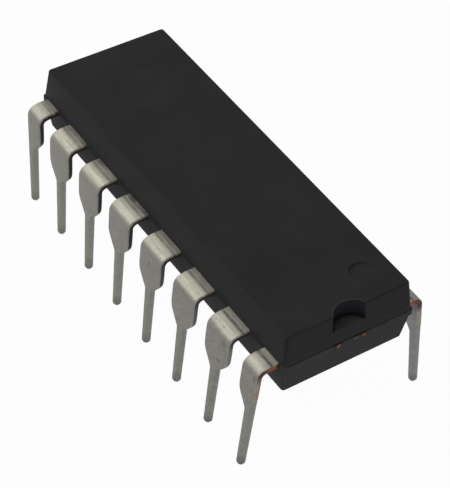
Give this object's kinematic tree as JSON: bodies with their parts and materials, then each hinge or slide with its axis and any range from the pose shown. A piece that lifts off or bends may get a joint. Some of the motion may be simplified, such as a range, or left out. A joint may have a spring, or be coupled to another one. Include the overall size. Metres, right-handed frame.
{
  "type": "bcd decoder chip",
  "caption": "Black moulded dual in-line chip with two rows of formed tinned leads, an index notch, and a die, die paddle and bond wires inside.",
  "frame": {"origin": "centre of the package's outline at the plane of the lead tips", "axes": "+X along the body away from the index notch, +Y towards the row of leads 9 to 16, +Z out of the flat top face"},
  "size_m": [0.019, 0.0089, 0.0069],
  "materials": {
    "moulding": "satin moulded epoxy",
    "plated_lead": "satin tin plating",
    "bare_copper": "bare sheared copper",
    "adhesive": "cured silver-filled adhesive",
    "silicon": "polished silicon",
    "gold_wire": "bright drawn gold"
  },
  "bodies": {
    "root": {"moulded_body": "moulding", "lead_01": "plated_lead", "lead_02": "plated_lead", "lead_03": "plated_lead", "lead_04": "plated_lead", "lead_05": "plated_lead", "lead_06": "plated_lead", "lead_07": "plated_lead", "lead_08": "plated_lead", "lead_09": "plated_lead", "lead_10": "plated_lead", "lead_11": "plated_lead", "lead_12": "plated_lead", "lead_13": "plated_lead", "lead_14": "plated_lead", "lead_15": "plated_lead", "lead_16": "plated_lead", "die_paddle": "bare_copper", "die_adhesive": "adhesive", "die": "silicon", "bond_wire_01": "gold_wire", "bond_wire_02": "gold_wire", "bond_wire_03": "gold_wire", "bond_wire_04": "gold_wire", "bond_wire_05": "gold_wire", "bond_wire_06": "gold_wire", "bond_wire_07": "gold_wire", "bond_wire_08": "gold_wire", "bond_wire_09": "gold_wire", "bond_wire_10": "gold_wire", "bond_wire_11": "gold_wire", "bond_wire_12": "gold_wire", "bond_wire_13": "gold_wire", "bond_wire_14": "gold_wire", "bond_wire_15": "gold_wire", "bond_wire_16": "gold_wire"}
  },
  "joints": []
}
